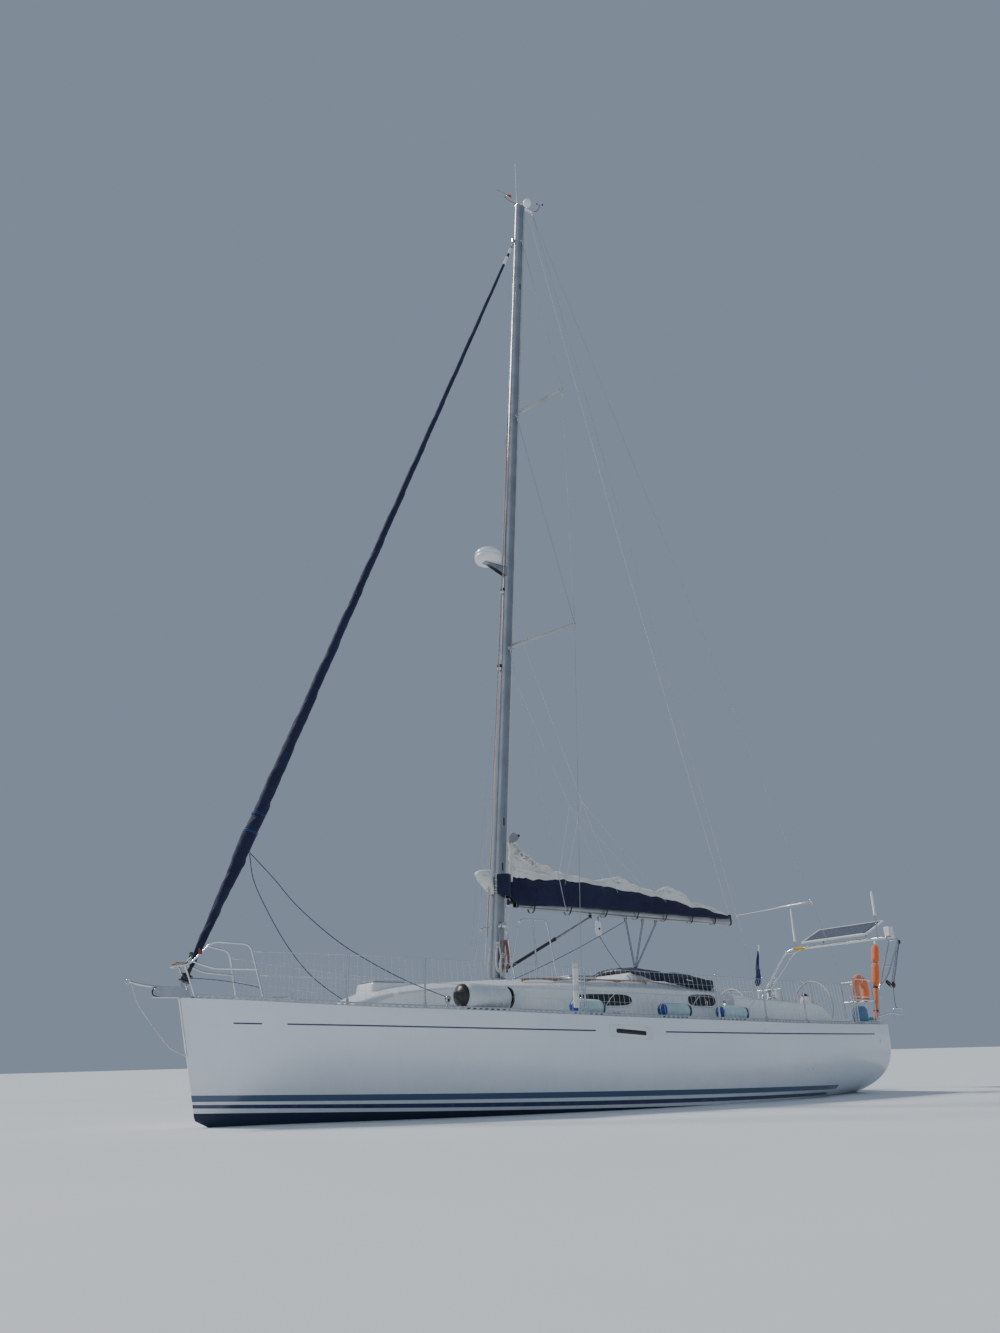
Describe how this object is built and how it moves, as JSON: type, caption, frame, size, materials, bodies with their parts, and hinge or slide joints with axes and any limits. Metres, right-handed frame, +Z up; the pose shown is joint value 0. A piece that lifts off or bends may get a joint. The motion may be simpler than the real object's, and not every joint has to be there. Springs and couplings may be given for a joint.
{
  "type": "sailing yacht",
  "caption": "Cruising sailing yacht afloat: decked hull with keel and rudder, raked mast with furled headsail, boom with stowed mainsail, wheels, rails and a stern arch.",
  "frame": {"origin": "on the centreline amidships at the water plane", "axes": "+X towards the bow, +Y to port, +Z up"},
  "size_m": [13.135, 3.74, 20.185],
  "materials": {
    "topsides": "gelcoat, gloss",
    "deck": "moulded deck, satin with non-slip",
    "gelcoat": "gelcoat, gloss",
    "antifouling": "antifouling paint, matt",
    "drive": "painted, satin",
    "bronze": "bronze, worn",
    "smoked_acrylic": "tinted acrylic, gloss",
    "toerail_alloy": "anodised, satin",
    "steel": "stainless steel, polished",
    "wire": "stainless wire, bright",
    "spar_alloy": "anodised, satin",
    "canvas_navy": "acrylic canvas, matt",
    "sailcloth": "polyester cloth, matt",
    "solar_cells": "glass over dark cells",
    "teak": "oiled wood, worn",
    "fender_vinyl": "soft vinyl, scuffed",
    "rescue_orange": "coated cloth, faded",
    "rope_light": "braided rope, matt"
  },
  "bodies": {
    "hull": {"arch": "steel", "backstay": "wire", "bow_fitting": "steel", "bow_rope": "rope_light", "coachroof": "deck", "coaming_port": "gelcoat", "coaming_starboard": "gelcoat", "danbuoy": "rescue_orange", "fender_1": "fender_vinyl", "fender_2": "fender_vinyl", "fender_3": "fender_vinyl", "fender_4": "fender_vinyl", "forestay_head": "spar_alloy", "furled_genoa": "canvas_navy", "furler_drum": "drive", "granny_bar_port": "steel", "granny_bar_starboard": "steel", "horseshoe_buoy": "rescue_orange", "hull": "topsides", "keel": "antifouling", "mast": "spar_alloy", "mast_bag": "sailcloth", "masthead_antenna": "drive", "pedestal_port": "gelcoat", "pedestal_starboard": "gelcoat", "pulpit": "steel", "pulpit_seat": "sailcloth", "pushpit_port": "steel", "pushpit_starboard": "steel", "radar_dome": "gelcoat", "rail_port": "toerail_alloy", "rail_starboard": "toerail_alloy", "saildrive": "drive", "sheet_port": "rope_light", "sheet_starboard": "rope_light", "shrouds_port": "wire", "shrouds_starboard": "wire", "solar_panel": "solar_cells", "sprayhood": "canvas_navy", "spreaders_lower": "spar_alloy", "spreaders_upper": "spar_alloy", "washboard": "deck", "winch_port": "steel", "winch_starboard": "steel"},
    "boom": {"boom": "spar_alloy", "vang": "drive", "topping_lift": "rope_light", "sail_cover": "canvas_navy", "sail_folds": "sailcloth"},
    "rudder": {"rudder": "antifouling"},
    "wheel_port": {"wheel_port": "steel"},
    "wheel_starboard": {"wheel_starboard": "steel"},
    "propeller": {"propeller": "bronze"},
    "companionway_hatch": {"companionway_hatch": "smoked_acrylic"},
    "fore_hatch": {"fore_hatch": "smoked_acrylic"},
    "saloon_hatch": {"saloon_hatch": "smoked_acrylic"},
    "anchor_locker_lid": {"anchor_locker_lid": "deck"},
    "locker_lid_port": {"locker_lid_port": "teak"},
    "locker_lid_starboard": {"locker_lid_starboard": "teak"}
  },
  "joints": [
    {"name": "boom_swing", "type": "hinge", "parent": "hull", "child": "boom", "pos_m": [0.81263, 0, 2.88], "axis": [-0.0656, 0, 0.9978], "range_deg": [-50, 50]},
    {"name": "rudder_turn", "type": "hinge", "parent": "hull", "child": "rudder", "pos_m": [-4.87, 0, -1], "axis": [0, 0, 1], "range_deg": [-35, 35]},
    {"name": "wheel_port_turn", "type": "hinge", "parent": "hull", "child": "wheel_port", "pos_m": [-4.5, 0.94, 1.335], "axis": [1, 0, 0], "range_deg": [-360, 360]},
    {"name": "wheel_starboard_turn", "type": "hinge", "parent": "hull", "child": "wheel_starboard", "pos_m": [-4.5, -0.94, 1.335], "axis": [1, 0, 0], "range_deg": [-360, 360]},
    {"name": "propeller_spin", "type": "hinge", "parent": "hull", "child": "propeller", "pos_m": [-2.905, 0, -0.86], "axis": [1, 0, 0], "continuous": true},
    {"name": "companionway_slide", "type": "slide", "parent": "hull", "child": "companionway_hatch", "axis": [1, 0, 0], "range_m": [0, 0.5]},
    {"name": "fore_hatch_open", "type": "hinge", "parent": "hull", "child": "fore_hatch", "pos_m": [3.15, 0, 1.6683], "axis": [0, 1, 0], "range_deg": [0, 90]},
    {"name": "saloon_hatch_open", "type": "hinge", "parent": "hull", "child": "saloon_hatch", "pos_m": [-0.1, 0, 1.7923], "axis": [0, 1, 0], "range_deg": [0, 90]},
    {"name": "anchor_locker_open", "type": "hinge", "parent": "hull", "child": "anchor_locker_lid", "pos_m": [4.33, 0, 1.4156], "axis": [0, -1, 0], "range_deg": [0, 90]},
    {"name": "locker_port_open", "type": "hinge", "parent": "hull", "child": "locker_lid_port", "pos_m": [-3.275, 1.16, 1.0183], "axis": [-1, 0, 0], "range_deg": [0, 85]},
    {"name": "locker_starboard_open", "type": "hinge", "parent": "hull", "child": "locker_lid_starboard", "pos_m": [-3.275, -1.16, 1.0183], "axis": [1, 0, 0], "range_deg": [0, 85]}
  ],
  "couplings": [
    {"joint": "wheel_port_turn", "follows": "rudder_turn", "ratio": 9},
    {"joint": "wheel_starboard_turn", "follows": "rudder_turn", "ratio": 9}
  ]
}
